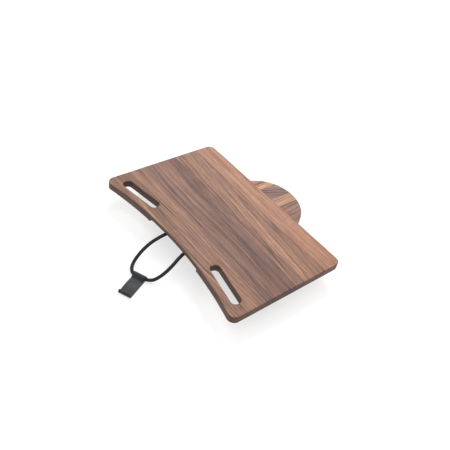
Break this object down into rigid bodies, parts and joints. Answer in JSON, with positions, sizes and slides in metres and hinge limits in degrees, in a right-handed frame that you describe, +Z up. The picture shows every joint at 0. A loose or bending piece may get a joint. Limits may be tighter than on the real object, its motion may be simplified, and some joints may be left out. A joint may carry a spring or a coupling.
{
  "type": "standing desk converter",
  "caption": "Walnut desk board that sits over a chair back on two folding padded jaws, with a swing-out round tray and an elastic tie-down loop with a hook strap.",
  "frame": {"origin": "on the floor under the middle of the bounding box, measured without the elastic tie-down", "axes": "+X along the board to the user's right, +Y away from the user, +Z up"},
  "size_m": [0.6, 0.6508, 0.082],
  "materials": {
    "walnut_board": "satin oiled edge-glued walnut",
    "walnut_tray": "satin oiled striped walnut",
    "black_steel": "fine textured black powder coat",
    "zinc_steel": "zinc plated",
    "brass": "turned",
    "nylon": "natural nylon",
    "black_rubber": "moulded",
    "foam_pad": "closed-cell foam",
    "braided_elastic": "braided polyester sheath",
    "strap_rubber": "moulded, satin"
  },
  "bodies": {
    "board": {"cord_anchor_left": "black_steel", "cord_anchor_right": "black_steel", "cord_ferrule_left": "zinc_steel", "cord_ferrule_right": "zinc_steel", "elastic_cord": "braided_elastic", "foot_front_left": "black_rubber", "foot_front_right": "black_rubber", "foot_rear_left": "black_rubber", "foot_rear_right": "black_rubber", "foot_screw_front_left": "zinc_steel", "foot_screw_front_right": "zinc_steel", "foot_screw_rear_left": "zinc_steel", "foot_screw_rear_right": "zinc_steel", "front_friction_washer_left": "nylon", "front_friction_washer_right": "nylon", "front_hinge_nut": "zinc_steel", "front_hinge_pin": "zinc_steel", "front_lug_left": "black_steel", "front_lug_right": "black_steel", "plate_screw_1": "zinc_steel", "plate_screw_2": "zinc_steel", "plate_screw_3": "zinc_steel", "plate_screw_4": "zinc_steel", "plate_screw_5": "zinc_steel", "plate_screw_6": "zinc_steel", "plate_screw_7": "zinc_steel", "plate_screw_8": "zinc_steel", "plate_screw_9": "zinc_steel", "rear_friction_washer_left": "nylon", "rear_friction_washer_right": "nylon", "rear_hinge_nut": "zinc_steel", "rear_hinge_pin": "zinc_steel", "rear_lug_left": "black_steel", "rear_lug_right": "black_steel", "saddle_plate": "black_steel", "strap_hook": "strap_rubber", "strap_peg": "black_rubber", "top_board": "walnut_board", "tray_glide_washer": "nylon", "tray_pivot_bolt": "zinc_steel", "tray_retaining_washer": "zinc_steel", "tray_stop_bumper": "black_rubber", "tray_threaded_insert": "brass"},
    "tray": {"swing_tray": "walnut_tray", "tray_bush": "brass"},
    "front_jaw": {"front_jaw": "black_steel", "front_jaw_pad": "foam_pad", "front_jaw_trim": "black_rubber"},
    "rear_jaw": {"rear_jaw": "black_steel", "rear_jaw_pad": "foam_pad", "rear_jaw_trim": "black_rubber"}
  },
  "joints": [
    {"name": "tray_swing", "type": "hinge", "parent": "board", "child": "tray", "pos_m": [0.074, 0.1059, 0.048], "axis": [0, 0, -1], "range_deg": [0, 125]},
    {"name": "front_jaw_fold", "type": "hinge", "parent": "board", "child": "front_jaw", "pos_m": [0, -0.1301, 0.0585], "axis": [1, 0, 0], "range_deg": [0, 90]},
    {"name": "rear_jaw_fold", "type": "hinge", "parent": "board", "child": "rear_jaw", "pos_m": [0, -0.0001, 0.0585], "axis": [-1, 0, 0], "range_deg": [0, 90]}
  ]
}
